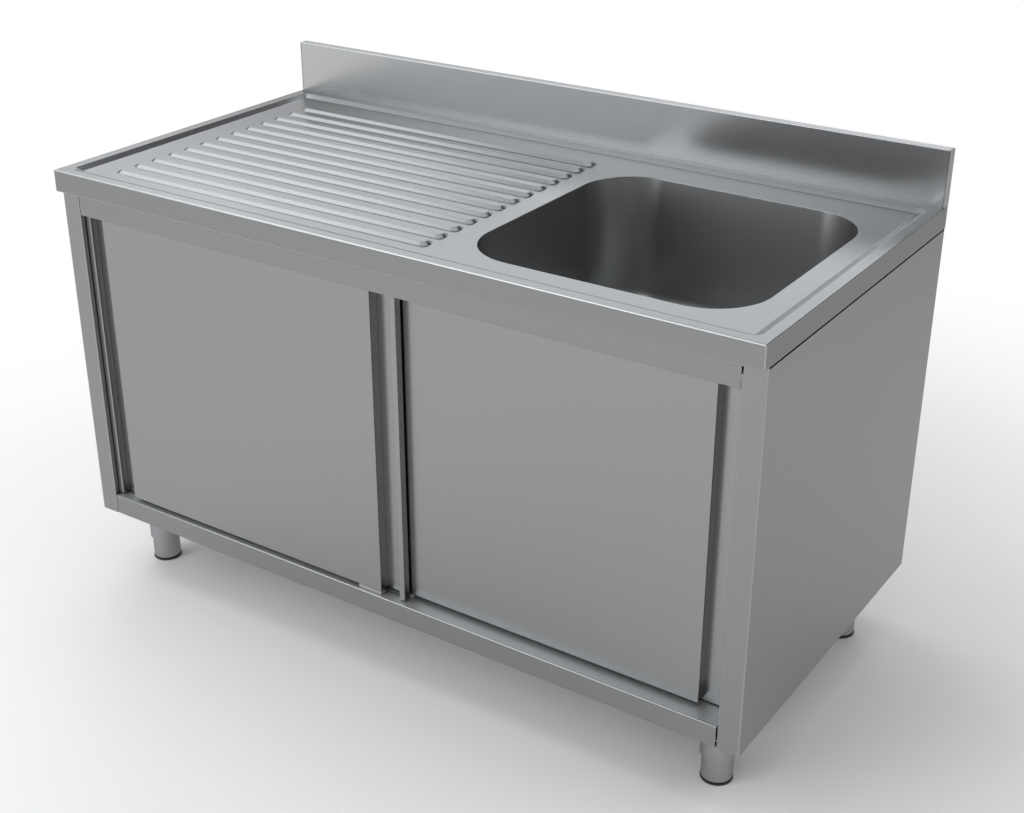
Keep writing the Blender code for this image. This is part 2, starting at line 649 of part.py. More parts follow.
def make_axle(name, x, steel, door):
    wheel_half = WHEEL_WIDTH / 2
    near_head = -wheel_half - RUN_GAP - HANGER_GAUGE - SEAT_GAP
    far_head = wheel_half + RUN_GAP
    near_end, far_end = near_head - AXLE_HEAD_HEIGHT, far_head + AXLE_HEAD_HEIGHT
    outline = [
        (0, near_end), (AXLE_HEAD_RADIUS, near_end), (AXLE_HEAD_RADIUS, near_head), (AXLE_RADIUS, near_head),
        (AXLE_RADIUS, far_head), (AXLE_HEAD_RADIUS, far_head), (AXLE_HEAD_RADIUS, far_end), (0, far_end),
    ]
    place = (x, LANE_DEPTH, WHEEL_Z)
    shade_round(add_piece(name, turned(outline, SMALL_STEPS), steel, place, (-pi / 2, 0, 0), door))


def make_wheel(name, x, nylon, door):
    half = WHEEL_WIDTH / 2
    groove = TRACK_GAUGE / 2 + WHEEL_GROOVE_GAP
    mouth = groove + WHEEL_GROOVE_FLARE
    bore = AXLE_RADIUS + AXLE_CLEARANCE
    outline = [
        (bore, -half), (WHEEL_RADIUS, -half), (WHEEL_RADIUS, -mouth), (WHEEL_TREAD_RADIUS, -groove),
        (WHEEL_TREAD_RADIUS, groove), (WHEEL_RADIUS, mouth), (WHEEL_RADIUS, half), (bore, half),
    ]
    place = (x, LANE_DEPTH, WHEEL_Z)
    shade_round(add_piece(name, turned(outline, SMALL_STEPS), nylon, place, (-pi / 2, 0, 0), door))


def make_skid(name, inner_sign, nylon, door):
    ends = sorted((inner_sign * (PANEL_WIDTH / 2 - SKID_LENGTH), inner_sign * PANEL_WIDTH / 2))
    low = (ends[0], 0, BASE_TOP_Z + RUN_GAP)
    high = (ends[1], SKID_DEPTH, PANEL_BOTTOM_Z - SEAT_GAP)
    add_piece(name, block(low, high), nylon, parent=door)


def make_door(side, sign, door_y, finishes):
    door = add_empty(side + "_door", (sign * DOOR_X, door_y, 0))
    make_door_panel(side + "_door_panel", finishes["door"], door)
    make_door_pan(side + "_door_pan", finishes["door"], door)
    make_skid(side + "_door_skid", -sign, finishes["nylon"], door)
    reach = DOOR_WIDTH / 2 - HANGER_INSET
    for place, x in (("outer", sign * reach), ("inner", -sign * reach)):
        make_hanger(f"{side}_door_hanger_{place}", x, finishes["zinc"], door)
        make_axle(f"{side}_door_axle_{place}", x, finishes["zinc"], door)
        make_wheel(f"{side}_door_wheel_{place}", x, finishes["nylon"], door)
    make_floor_guide(side + "_door_floor_guide", door_y, finishes["nylon"])


def make_foot_rail(side, sign, steel):
    center, half = sign * FOOT_X, FOOT_RAIL_WIDTH / 2
    top_z = BASE_TOP_Z - BODY_GAUGE - SEAT_GAP
    low_z = CARCASS_BOTTOM_Z + SEAT_GAP
    wing, wing_z = half + FOOT_RAIL_FLANGE, top_z - BODY_GAUGE
    path = [(wing, wing_z), (half, wing_z), (half, low_z), (-half, low_z), (-half, wing_z), (-wing, wing_z)]
    outline = fold([(center + x, z) for x, z in path], BODY_GAUGE)
    front = FRONT_Y + BASE_RETURN + FOOT_RAIL_END_GAP
    back = BACK_Y - BASE_RETURN - FOOT_RAIL_END_GAP - 2 * BODY_GAUGE
    add_piece("foot_rail_" + side, prism(outline, "Y", front, back), steel)


def make_foot(place, x, y, finishes):
    foot = add_empty("foot_" + place, (x, y, 0))
    top = CARCASS_BOTTOM_Z
    flange = top - SOCKET_FLANGE_HEIGHT
    mouth = top - SOCKET_LENGTH
    sleeve_top = mouth + FOOT_TRAVEL + FOOT_ENGAGEMENT
    web = sleeve_top + SEAT_GAP
    stem_bore, sleeve_bore = FOOT_STEM_RADIUS + RUN_GAP, FOOT_RADIUS + RUN_GAP
    socket = [
        (stem_bore, web), (sleeve_bore, web), (sleeve_bore, mouth),
        (SOCKET_RADIUS, mouth), (SOCKET_RADIUS, flange), (SOCKET_FLANGE_RADIUS, flange),
        (SOCKET_FLANGE_RADIUS, top), (stem_bore, top),
    ]
    steel = finishes["steel"]
    shade_round(add_piece("foot_socket_" + place, turned(socket, ROUND_STEPS), steel, (x, y, 0)))
    sole = PAD_HEIGHT + SEAT_GAP
    stem_top = top - RUN_GAP
    leg = [
        (0, sole), (FOOT_RADIUS, sole), (FOOT_RADIUS, sleeve_top), (FOOT_STEM_RADIUS, sleeve_top),
        (FOOT_STEM_RADIUS, stem_top), (0, stem_top),
    ]
    shade_round(add_piece("foot_leg_" + place, turned(leg, ROUND_STEPS), steel, parent=foot))
    pad = [(0, 0), (PAD_RADIUS, 0), (PAD_RADIUS, PAD_HEIGHT), (0, PAD_HEIGHT)]
    shade_round(add_piece("foot_pad_" + place, turned(pad, ROUND_STEPS), finishes["pad"], parent=foot))


def make_finishes():
    return {
        "steel": make_finish("satin_steel", (0.56, 0.56, 0.57), 0.32, 1.0),
        "bowl": make_finish("bowl_steel", (0.54, 0.54, 0.55), 0.28, 1.0),
        "door": make_finish("door_steel", (0.58, 0.58, 0.58), 0.30, 1.0),
        "zinc": make_finish("zinc_plate", (0.50, 0.50, 0.50), 0.40, 1.0),
        "brass": make_finish("brass", (0.60, 0.46, 0.22), 0.35, 1.0),
        "nylon": make_finish("nylon", (0.72, 0.72, 0.70), 0.50, 0.0),
        "outlet": make_finish("outlet_plastic", (0.75, 0.75, 0.74), 0.45, 0.0),
        "rubber": make_finish("rubber", (0.03, 0.03, 0.03), 0.70, 0.0),
        "pad": make_finish("pad_plastic", (0.02, 0.02, 0.02), 0.45, 0.0),
        "board": make_finish("board", (0.52, 0.40, 0.26), 0.75, 0.0),
    }


def main():
    clear_scene()
    finishes = make_finishes()
    steel = finishes["steel"]
    make_worktop(steel)
    make_splashback(steel)
    make_bowl(finishes["bowl"])
    make_drain(steel, finishes["brass"], finishes["rubber"], finishes["outlet"])
    make_underframe(finishes["board"], steel)
    for side, sign in (("left", -1), ("right", 1)):
        make_side_panel(side, sign, steel)
        make_foot_rail(side, sign, steel)
    make_base_panel(steel)
    make_back_panel(steel)
    make_top_rail(steel)
    make_door_track(finishes["zinc"])
    make_door("left", -1, FRONT_DOOR_Y, finishes)
    make_door("right", 1, REAR_DOOR_Y, finishes)
    for side, x in (("left", -FOOT_X), ("right", FOOT_X)):
        for end, y in (("front", FOOT_FRONT_Y), ("back", FOOT_BACK_Y)):
            make_foot(f"{end}_{side}", x, y, finishes)


main()
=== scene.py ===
from math import copysign, cos, pi, radians, sin

import bmesh
import bpy
from mathutils import Matrix, Vector


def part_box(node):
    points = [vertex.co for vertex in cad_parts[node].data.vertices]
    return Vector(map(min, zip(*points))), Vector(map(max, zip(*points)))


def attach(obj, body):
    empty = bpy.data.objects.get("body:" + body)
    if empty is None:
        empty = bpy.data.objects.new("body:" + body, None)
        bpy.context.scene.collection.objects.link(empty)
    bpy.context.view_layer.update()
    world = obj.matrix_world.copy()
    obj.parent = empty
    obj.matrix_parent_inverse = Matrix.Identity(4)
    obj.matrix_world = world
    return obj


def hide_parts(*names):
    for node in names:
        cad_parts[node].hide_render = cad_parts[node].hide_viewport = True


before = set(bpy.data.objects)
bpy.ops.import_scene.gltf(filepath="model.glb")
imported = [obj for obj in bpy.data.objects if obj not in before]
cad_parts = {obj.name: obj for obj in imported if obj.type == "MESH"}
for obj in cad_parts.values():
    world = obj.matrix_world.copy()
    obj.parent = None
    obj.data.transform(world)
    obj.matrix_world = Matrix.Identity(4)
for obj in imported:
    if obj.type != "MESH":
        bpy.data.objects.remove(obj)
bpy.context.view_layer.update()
scene = bpy.context.scene
hair = 0.0001  # slack for telling what lies on a plane
print("sink unit: frame loaded")


# shader maths on sockets, so that a finish reads as sums
class Wire:
    def __init__(self, paint, socket):
        self.paint = paint
        self.socket = socket

    def join(self, operation, first, second):
        return self.paint.make("Math", {"operation": operation}, {0: first, 1: second})

    def __add__(self, other):
        return self.join("ADD", self, other)

    def __radd__(self, other):
        return self.join("ADD", other, self)

    def __mul__(self, other):
        return self.join("MULTIPLY", self, other)

    def __rmul__(self, other):
        return self.join("MULTIPLY", other, self)


class Paint:
    def __init__(self, owner):
        owner.use_nodes = True
        self.owner = owner
        self.tree = owner.node_tree

    # a node's type, its settings first, then what its sockets hold
    def make(self, kind, settings=None, inputs=None, output=0):
        node = self.tree.nodes.new("ShaderNode" + kind)
        for name, value in (settings or {}).items():
            if name == "stops":
                for _ in value[2:]:
                    node.color_ramp.elements.new(0.5)
                for stop, (position, color) in zip(node.color_ramp.elements, value):
                    stop.position = position
                    stop.color = color
            else:
                setattr(node, name, value)
        for name, value in (inputs or {}).items():
            self.feed(node.inputs[name], value)
        return Wire(self, node.outputs[output])

    def feed(self, socket, value):
        if isinstance(value, Wire):
            self.tree.links.new(value.socket, socket)
        else:
            socket.default_value = value

    def surface(self, **inputs):
        shader = self.tree.nodes["Principled BSDF"]
        for name, value in inputs.items():
            words = "".join(" " + letter if letter.isupper() else letter for letter in name)
            self.feed(shader.inputs[words.strip().title()], value)

    # a colour between two, by a share that may change over the surface
    def blend(self, share, first, second):
        return self.make("Mix", {"data_type": "RGBA"}, {"Factor": share, 6: first, 7: second}, output=2)

    def noise(self, place, scale, detail, roughness=0.5, output=0):
        return self.make("TexNoise", None, {
            "Vector": place, "Scale": scale, "Detail": detail, "Roughness": roughness}, output=output)

    # a value that a piece's faces carry
    def mark(self, name):
        return self.make("Attribute", {"attribute_name": name}, output="Fac")


def grey(tone, warmth=0.0):
    return (tone * (1 + warmth), tone, tone * (1 - warmth), 1.0)


# brushed stainless sheet: faint streaks along the grain, broad clouds of wear, a painted highlight on rounded
# bends, and marked faces in a duller mill finish that is also painted lighter, or in the stiles' darker tone,
# which is painted shade
steel = {
    "grain": {"X": (9.0, 2600.0, 2600.0), "Z": (2600.0, 2600.0, 9.0)}, "cloudScale": 4.0, "streakShare": 0.6,
    "cast": (0.985, 1.0, 1.0), "spread": 0.012, "rub": 1.05, "millPaintedLight": 2.5, "millRoughness": 0.3,
    "wearRoughness": 0.03, "dent": 0.008, "dentDepth": 0.0001, "edgeTint": 0.7,
}


def brushedSteel(name, tone, roughness, grain, rub=steel["rub"], stile=1.0, cast=steel["cast"]):
    def shade(share):
        return tuple(tone * share * channel for channel in cast) + (1.0,)

    paint = Paint(bpy.data.materials.new(name))
    place = paint.make("TexCoord", output="Object")
    drawn = paint.make("Mapping", {"vector_type": "POINT"}, {"Vector": place, "Scale": steel["grain"][grain]})
    streak = paint.noise(drawn, scale=1.0, detail=3.0, roughness=0.65)
    cloud = paint.noise(place, steel["cloudScale"], detail=3.0)
    worn = streak * steel["streakShare"] + cloud * (1 - steel["streakShare"])
    tint = paint.blend(worn, shade(1 - steel["spread"]), shade(1 + steel["spread"]))
    # marks paint light and shade: a highlight on bends, a lighter tone on mill faces, shade on stiles
    for mark, share in (("bend", rub), ("mill", steel["millPaintedLight"]), ("stile", stile)):
        tint = paint.blend(paint.mark(mark), tint, shade(share))
    dull = paint.mark("mill") * steel["millRoughness"] + (roughness - steel["wearRoughness"] / 2)
    dent = paint.make("Bump", None, {
        "Strength": steel["dent"], "Distance": steel["dentDepth"], "Height": streak})
    paint.surface(BaseColor=tint, Metallic=1.0, Roughness=worn * steel["wearRoughness"] + dull, Normal=dent,
                  SpecularTint=grey(steel["edgeTint"]))
    return paint.owner


# zinc plate with faint spangle
zinc = {"spangleScale": 160.0, "cloudScale": 60.0, "contrast": 0.1, "cool": -0.01, "wearRoughness": 0.16}


def zincPlate(name, tone, roughness):
    paint = Paint(bpy.data.materials.new(name))
    place = paint.make("TexCoord", output="Object")
    spangle = paint.make("TexVoronoi", {"feature": "F1"}, {
        "Vector": place, "Scale": zinc["spangleScale"]}, output="Color")
    patch = paint.make("SeparateColor", None, {"Color": spangle}, output="Red")
    mottle = (patch + paint.noise(place, zinc["cloudScale"], detail=3.0)) * 0.5
    dark, light = grey(tone * (1 - zinc["contrast"])), grey(tone * (1 + zinc["contrast"]), zinc["cool"])
    paint.surface(BaseColor=paint.blend(mottle, dark, light), Metallic=1.0,
                  Roughness=mottle * zinc["wearRoughness"] + (roughness - zinc["wearRoughness"] / 2))
    return paint.owner


# moulded plastic or rubber with a fine matt texture
plastic = {"cloudScale": 25.0, "darker": 0.88, "dent": 0.15, "poreRoughness": 0.12}


def moulded(name, color, roughness, grainScale, depth):
    paint = Paint(bpy.data.materials.new(name))
    place = paint.make("TexCoord", output="Object")
    pores = paint.noise(place, grainScale, detail=2.0)
    cloud = paint.noise(place, plastic["cloudScale"], detail=2.0)
    darker = tuple(channel * plastic["darker"] for channel in color[:3]) + (1.0,)
    dent = paint.make("Bump", None, {"Strength": plastic["dent"], "Distance": depth, "Height": pores})
    paint.surface(BaseColor=paint.blend(cloud, darker, color), Normal=dent,
                  Roughness=pores * plastic["poreRoughness"] + (roughness - plastic["poreRoughness"] / 2))
    return paint.owner


# cast brass with a cloudy tarnish
brass = {
    "cloudScale": 90.0, "dark": (0.50, 0.37, 0.16, 1.0), "light": (0.68, 0.53, 0.27, 1.0),
    "roughness": 0.25, "wearRoughness": 0.2,
}


def castBrass(name):
    paint = Paint(bpy.data.materials.new(name))
    cloud = paint.noise(paint.make("TexCoord", output="Object"), brass["cloudScale"], detail=4.0)
    paint.surface(BaseColor=paint.blend(cloud, brass["dark"], brass["light"]), Metallic=1.0,
                  Roughness=cloud * brass["wearRoughness"] + brass["roughness"])
    return paint.owner


# pressed chips of wood with a little glue between them
chips = {
    "bendScale": 130.0, "bend": 0.012, "scale": 150.0, "dent": 0.3, "dentDepth": 0.0004,
    "roughness": 0.65, "chipRoughness": 0.2,
    "colors": [
        (0.0, (0.30, 0.20, 0.11, 1.0)), (0.5, (0.50, 0.37, 0.22, 1.0)), (1.0, (0.66, 0.53, 0.36, 1.0)),
    ],
}


def chipboard(name):
    paint = Paint(bpy.data.materials.new(name))
    place = paint.make("TexCoord", output="Object")
    bent = paint.noise(place, chips["bendScale"], detail=2.0, output="Color")
    warped = paint.make("Mix", {"data_type": "VECTOR"}, {
        "Factor": chips["bend"], 4: place, 5: bent}, output=1)
    cells = paint.make("TexVoronoi", {"feature": "F1"}, {
        "Vector": warped, "Scale": chips["scale"]}, output="Color")
    chip = paint.make("SeparateColor", None, {"Color": cells}, output="Green")
    tint = paint.make("ValToRGB", {"stops": chips["colors"]}, {"Fac": chip})
    dent = paint.make("Bump", None, {
        "Strength": chips["dent"], "Distance": chips["dentDepth"], "Height": chip})
    paint.surface(BaseColor=tint, Roughness=chip * chips["chipRoughness"] + chips["roughness"], Normal=dent)
    return paint.owner


# steel has tone, roughness and grain; what is moulded has colour, roughness, and its pores' scale and depth
# the steel parts are lit and shaded copies of one steel: each part's tone is painted lighter or darker for
# the light it catches
finishes = {
    # the worktop's rounded bends get a strong painted highlight
    "topSteel": brushedSteel("worktop brushed steel", 0.27, 0.24, "X", rub=1.6),
    "splashSteel": brushedSteel("splashback brushed steel", 0.46, 0.26, "X"),
    "frameSteel": brushedSteel("carcass brushed steel", 0.28, 0.27, "X"),
    # the side panels' raised tone and bluish cast are painted light; their stiles are painted back darker
    "sideSteel": brushedSteel(
        "side panel brushed steel", 0.36, 0.34, "Z", stile=0.82, cast=(0.985, 1.0, 1.025)),
    "doorSteel": brushedSteel("door brushed steel", 0.315, 0.25, "Z"),
    "bowlSteel": brushedSteel("drawn bowl steel", 0.41, 0.34, "Z"),
    "zinc": zincPlate("zinc plate", 0.50, 0.40),
    "brass": castBrass("waste brass"),
    "nylon": moulded("nylon", (0.78, 0.78, 0.76, 1.0), 0.45, 900.0, 0.0002),
    "skid": moulded("skid plastic", (0.36, 0.36, 0.355, 1.0), 0.42, 900.0, 0.0002),
    "guide": moulded("guide plastic", (0.045, 0.045, 0.045, 1.0), 0.50, 900.0, 0.0002),
    "outlet": moulded("waste plastic", (0.74, 0.74, 0.73, 1.0), 0.42, 700.0, 0.0002),
    "rubber": moulded("gasket rubber", (0.030, 0.030, 0.030, 1.0), 0.70, 1200.0, 0.0003),
    "pad": moulded("foot pad plastic", (0.020, 0.020, 0.020, 1.0), 0.45, 900.0, 0.0002),
    "board": chipboard("chipboard"),
}
print("sink unit: finishes mixed")


# a finished piece: mesh, sheet gauge, even shading, and its place in the frame
def finishPiece(name, bm, finish, body, nodes, gauge=0.0):
    mesh = bpy.data.meshes.new(name)
    bm.to_mesh(mesh)
    bm.free()
    mesh.shade_smooth()
    mesh.materials.append(finishes[finish])
    piece = bpy.data.objects.new(name, mesh)
    scene.collection.objects.link(piece)
    if gauge:
        wall = piece.modifiers.new("gauge", "SOLIDIFY")
        wall.thickness = gauge
        wall.offset = -1.0
        wall.use_even_offset = True
        wall.use_quality_normals = True
    even = piece.modifiers.new("even shading", "WEIGHTED_NORMAL")
    even.mode = "FACE_AREA"
    even.weight = 80
    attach(piece, body)
    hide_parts(*nodes)


# the shown side of an open sheet faces the given way
def faceSheet(bm, direction):
    bmesh.ops.recalc_face_normals(bm, faces=bm.faces)
    if sum(face.normal.dot(Vector(direction)) * face.calc_area() for face in bm.faces) < 0:
        bmesh.ops.reverse_faces(bm, faces=bm.faces)
    return bm


# rounded edges carry the mark that the steel's finish reads to paint a highlight on them
def roundEdges(bm, edges, width, segments=4):
    mark = bm.faces.layers.float.get("bend") or bm.faces.layers.float.new("bend")
    rounded = bmesh.ops.bevel(bm, geom=edges, offset=width, offset_type="OFFSET", segments=segments,
                              profile=0.5, affect="EDGES", clamp_overlap=True, material=-1)
    for face in rounded["faces"]:
        face[mark] = 1.0


# every crisp edge of a closed shape gets a small round
def softenShape(bm, width, segments=2, crisp=radians(32)):
    edges = [edge for edge in bm.edges if edge.is_manifold and edge.calc_face_angle(0.0) > crisp]
    roundEdges(bm, edges, width, segments)
    return bm


def vertsOf(geom):
    return [item for item in geom if isinstance(item, bmesh.types.BMVert)]


def foldsOf(bm):
    return [edge for edge in bm.edges if len(edge.link_faces) == 2]


# edges drawn out by a step to new faces, and the far edges given back
def drawEdges(bm, edges, step):
    drawn = bmesh.ops.extrude_edge_only(bm, edges=edges)["geom"]
    bmesh.ops.translate(bm, verts=vertsOf(drawn), vec=step)
    return [item for item in drawn if isinstance(item, bmesh.types.BMEdge)]


# a flat shape drawn out by a step to a closed solid
def drawSolid(bm, step):
    drawn = bmesh.ops.extrude_face_region(bm, geom=bm.faces[:])["geom"]
    bmesh.ops.translate(bm, verts=vertsOf(drawn), vec=step)
    bmesh.ops.recalc_face_normals(bm, faces=bm.faces)


# a strip drawn out along an axis and bent at its corners, as a press brake does
def foldSheet(path, axis, low, high, bend, facing):
    bm = bmesh.new()
    slot = "XYZ".index(axis)
    verts = [bm.verts.new((*point[:slot], low, *point[slot:])) for point in path]
    reach = Vector((0, 0, 0))
    reach[slot] = high - low
    drawEdges(bm, [bm.edges.new(pair) for pair in zip(verts, verts[1:])], reach)
    roundEdges(bm, foldsOf(bm), bend)
    return faceSheet(bm, facing)


def plainBlock(low, high):
    bm = bmesh.new()
    middle, size = (Vector(low) + Vector(high)) / 2, Vector(high) - Vector(low)
    bmesh.ops.create_cube(bm, size=1.0, matrix=Matrix.LocRotScale(middle, None, size))
    return bm


def softBlock(low, high, width, segments=3):
    bm = plainBlock(low, high)
    roundEdges(bm, bm.edges[:], width, segments)
    return bm


# an outline of radius and height that is the same towards both ends
def bothEnds(profile):
    return [(radius, -height) for radius, height in profile] + profile[::-1]


# an outline of radius and height turned round an axis, with its rings softened
def turnShape(outline, center, soften, steps=56, along="Z"):
    bm = bmesh.new()
    verts = [bm.verts.new((radius, 0, height)) for radius, height in outline]
    edges = [bm.edges.new(pair) for pair in zip(verts, verts[1:] + verts[:1])]
    core = [edge for edge in edges if max(vert.co.x for vert in edge.verts) == 0]
    bmesh.ops.delete(bm, geom=core, context="EDGES")
    bmesh.ops.spin(bm, geom=bm.verts[:] + bm.edges[:], axis=(0, 0, 1), cent=(0, 0, 0), angle=2 * pi,
                   steps=steps, use_merge=True)
    bmesh.ops.remove_doubles(bm, verts=bm.verts, dist=0.000001)
    bmesh.ops.recalc_face_normals(bm, faces=bm.faces)
    softenShape(bm, soften, 3)
    if along == "Y":
        bmesh.ops.rotate(bm, verts=bm.verts, cent=(0, 0, 0), matrix=Matrix.Rotation(-pi / 2, 3, "X"))
    bmesh.ops.translate(bm, verts=bm.verts, vec=center)
    return bm


def flatFace(bm, low, high, height):
    corners = [(low[0], low[1]), (high[0], low[1]), (high[0], high[1]), (low[0], high[1])]
    return bm.faces.new([bm.verts.new((x, y, height)) for x, y in corners])


# a flat face with round corners, and a way to step it in and up or down
def roundFace(bm, low, high, radius, height, segments=10):
    known = set(bm.faces)
    verts = flatFace(bm, low, high, height).verts[:]
    bmesh.ops.bevel(bm, geom=verts, offset=radius, offset_type="OFFSET", segments=segments, profile=0.5,
                    affect="VERTICES", clamp_overlap=False, material=-1)
    face = next(face for face in bm.faces if face not in known)
    bmesh.ops.remove_doubles(bm, verts=face.verts[:], dist=0.000005)
    face = next(face for face in bm.faces if face not in known)
    face.normal_update()
    if face.normal.z < 0:
        face.normal_flip()
    return face


def stepIn(bm, faces, steps):
    bm.normal_update()
    for inward, upward in steps:
        bmesh.ops.inset_region(bm, faces=faces, thickness=inward, depth=upward, use_boundary=True,
                               use_even_offset=True)


# a slope with eased ends: steps of going in and of rising
def easedSlope(run, rise, ease, count):
    def level(t):
        if t < ease:
            return t * t / (2 * ease * (1 - ease))
        if t > 1 - ease:
            return 1 - (1 - t) ** 2 / (2 * ease * (1 - ease))
        return (t - ease / 2) / (1 - ease)

    levels = [level(step / count) for step in range(count + 1)]
    return [(run / count, rise * (after - before)) for before, after in zip(levels, levels[1:])]


def arcSteps(radius, start, end, count):
    angles = [radians(start + (end - start) * step / count) for step in range(count + 1)]
    return [(radius * (sin(after) - sin(before)), radius * (cos(after) - cos(before)))
            for before, after in zip(angles, angles[1:])]


def fillBetween(bm, edges):
    bmesh.ops.triangle_fill(bm, use_beauty=True, use_dissolve=False, edges=edges)


# a face taken out, and the edges of its hole given back
def openFace(bm, face):
    edges = face.edges[:]
    bmesh.ops.delete(bm, geom=[face], context="FACES_ONLY")
    return edges


print("sink unit: tools ready")

# pressed worktop: rim, eased slope to the sunken field, ribs, rolled bowl edge, lip and return
worktop = {
    "low": (-0.7, -0.35), "high": (0.7, 0.35), "top": 0.827, "under": 0.787, "gauge": 0.0015,
    "rimLow": (-0.68, -0.33), "rimHigh": (0.68, 0.313), "rimCorner": 0.019,
    "slope": 0.015, "drop": 0.006, "ease": 0.06, "slopeSteps": 16, "hold": 0.0003,
    "backLean": 0.3, "backDullAndLight": 0.3,
    "bowlLow": (0.125, -0.274), "bowlHigh": (0.625, 0.226), "bowlCorner": 0.1, "bowlRoll": 0.0009,
    "cornerSteps": 14, "rollSteps": 4, "ribEndSteps": 8,
    "ribLeft": -0.613, "ribRight": 0.0835, "ribFirst": -0.273, "ribPitch": 0.042, "ribCount": 13,
    "ribWidth": 0.030, "ribSlope": 0.0075, "ribHeight": 0.005, "ribEase": 0.06, "ribSteps": 12,
    "edgeRound": 0.002, "edgeBand": 0.006, "lipReturn": 0.03, "bendAngle": 80,
}


def makeWorktop(size):
    bm = bmesh.new()
    mill = bm.faces.layers.float.new("mill")
    plate = flatFace(bm, size["low"], size["high"], size["top"])
    stepIn(bm, [plate], [(size["edgeBand"], 0.0)])
    outer = [edge for edge in bm.edges if edge.is_boundary]
    band = openFace(bm, plate)
    rim = roundFace(bm, size["rimLow"], size["rimHigh"], size["rimCorner"], size["top"])
    fillBetween(bm, band + rim.edges[:])
    # a narrow level ring on each side of a slope keeps the flats beside it level
    hold = [(size["hold"], 0.0)]
    slope = easedSlope(size["slope"], -size["drop"], size["ease"], size["slopeSteps"])
    stepIn(bm, [rim], hold + slope + hold)
    # the press leaves the slope before the splashback duller, and its mark also paints it lighter: a painted
    # highlight
    bm.normal_update()
    for face in bm.faces:
        if face.normal.y < -size["backLean"]:
            face[mill] = size["backDullAndLight"]

    # ribs and the bowl's mouth are let into the field, then shaped
    fieldZ = size["top"] - size["drop"]
    roll, halfRib = size["bowlRoll"], size["ribWidth"] / 2
    mouthLow = [side - roll for side in size["bowlLow"]]
    mouthHigh = [side + roll for side in size["bowlHigh"]]
    mouth = roundFace(bm, mouthLow, mouthHigh, size["bowlCorner"] + roll, fieldZ, size["cornerSteps"])
    ribs = []
    for index in range(size["ribCount"]):
        middle = size["ribFirst"] + index * size["ribPitch"]
        ribs.append(roundFace(bm, (size["ribLeft"], middle - halfRib), (size["ribRight"], middle + halfRib),
                              halfRib, fieldZ, size["ribEndSteps"]))
    border = [edge for face in ribs + [mouth] for edge in face.edges]
    fillBetween(bm, openFace(bm, rim) + border)
    ribSlope = easedSlope(size["ribSlope"], size["ribHeight"], size["ribEase"], size["ribSteps"])
    stepIn(bm, ribs, hold + ribSlope)
    stepIn(bm, [mouth], arcSteps(roll, 0, 90, size["rollSteps"]))
    openFace(bm, mouth)

    # the lip goes down and back under, and its bends are rounded
    lip = drawEdges(bm, outer, (0, 0, size["under"] - size["top"]))
    lip = drawEdges(bm, lip, (0, 0, 0))
    for vert in {vert for edge in lip for vert in edge.verts}:
        vert.co.x -= copysign(size["lipReturn"], vert.co.x)
        vert.co.y -= copysign(size["lipReturn"], vert.co.y)
    bm.normal_update()
    end = size["high"][0] - hair
    bends = [edge for edge in foldsOf(bm) if edge.calc_face_angle() > radians(size["bendAngle"])
             and max(abs(vert.co.x) for vert in edge.verts) > end]
    roundEdges(bm, bends, size["edgeRound"])
    finishPiece("pressed_worktop", faceSheet(bm, (0, 0, 1)), "topSteel", "carcass", ["worktop"],
                size["gauge"])


makeWorktop(worktop)

# splashback: folded top, and a plate closing each end
splash = {"fold": 0.0012, "gauge": 0.001, "capRound": 0.0009, "footGap": 0.0001}


def makeSplashback(size):
    low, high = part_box("splashback")
    foot = worktop["top"] + size["footGap"]
    path = [(low.y, foot), (low.y, high.z), (high.y, high.z), (high.y, low.z)]
    sheet = foldSheet(path, "X", low.x, high.x, size["fold"], (0, 0, 1))
    finishPiece("splashback_fold", sheet, "splashSteel", "carcass", ["splashback"], size["gauge"])
    for side in ("left", "right"):
        node = "splashback_end_" + side
        cap = softBlock(*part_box(node), size["capRound"])
        finishPiece("splashback_cap_" + side, cap, "splashSteel", "carcass", [node])


makeSplashback(splash)
print("sink unit: worktop and splashback pressed")

# bowl: flange under the worktop, tapered walls, wide fillet, floor falling to the waste
bowl = {
    "low": (0.125, -0.274), "high": (0.625, 0.226), "corner": 0.1, "flange": 0.015, "flangeZ": 0.8192,
    "taper": 0.005, "fillet": 0.04, "seatZ": 0.571, "fall": 0.004, "seat": 0.042, "hole": 0.026,
    "gauge": 0.0012, "cornerSteps": 12, "filletSteps": 9, "floorSteps": 6, "waste": (0.375, -0.024),
}
wasteCenter = Vector((*bowl["waste"], bowl["seatZ"]))


def makeBowl(size):
    bm = bmesh.new()
    flange = size["flange"]
    face = roundFace(bm, [side - flange for side in size["low"]], [side + flange for side in size["high"]],
                     size["corner"] + flange, size["flangeZ"], size["cornerSteps"])
    fillet, floorZ = size["fillet"], size["seatZ"] + size["fall"]
    wallDrop = size["flangeZ"] - floorZ - fillet
    stepIn(bm, [face], [(flange, 0.0), (size["taper"], -wallDrop)])
    turns = [radians(90) * step / size["filletSteps"] for step in range(size["filletSteps"] + 1)]
    stepIn(bm, [face], [(fillet * (cos(before) - cos(after)), fillet * (sin(before) - sin(after)))
                        for before, after in zip(turns, turns[1:])])
    edge = openFace(bm, face)
    seat = bmesh.ops.create_circle(bm, cap_ends=False, segments=len(edge), radius=size["seat"],
                                   matrix=Matrix.Translation(wasteCenter))["verts"]
    seatEdges = list(dict.fromkeys(link for vert in seat for link in vert.link_edges))
    floor = bmesh.ops.bridge_loops(bm, edges=edge + seatEdges)
    hole = list(dict.fromkeys(vert for link in drawEdges(bm, seatEdges, (0, 0, 0)) for vert in link.verts))
    shrink = size["hole"] / size["seat"]
    bmesh.ops.scale(bm, verts=hole, vec=(shrink, shrink, 1), space=Matrix.Translation(-wasteCenter))
    spokes = [item for item in floor["edges"] if item.is_valid]
    bmesh.ops.subdivide_edges(bm, edges=spokes, cuts=size["floorSteps"])
    finishPiece("drawn_bowl", faceSheet(bm, (0, 0, 1)), "bowlSteel", "carcass", ["sink_bowl"], size["gauge"])


makeBowl(bowl)

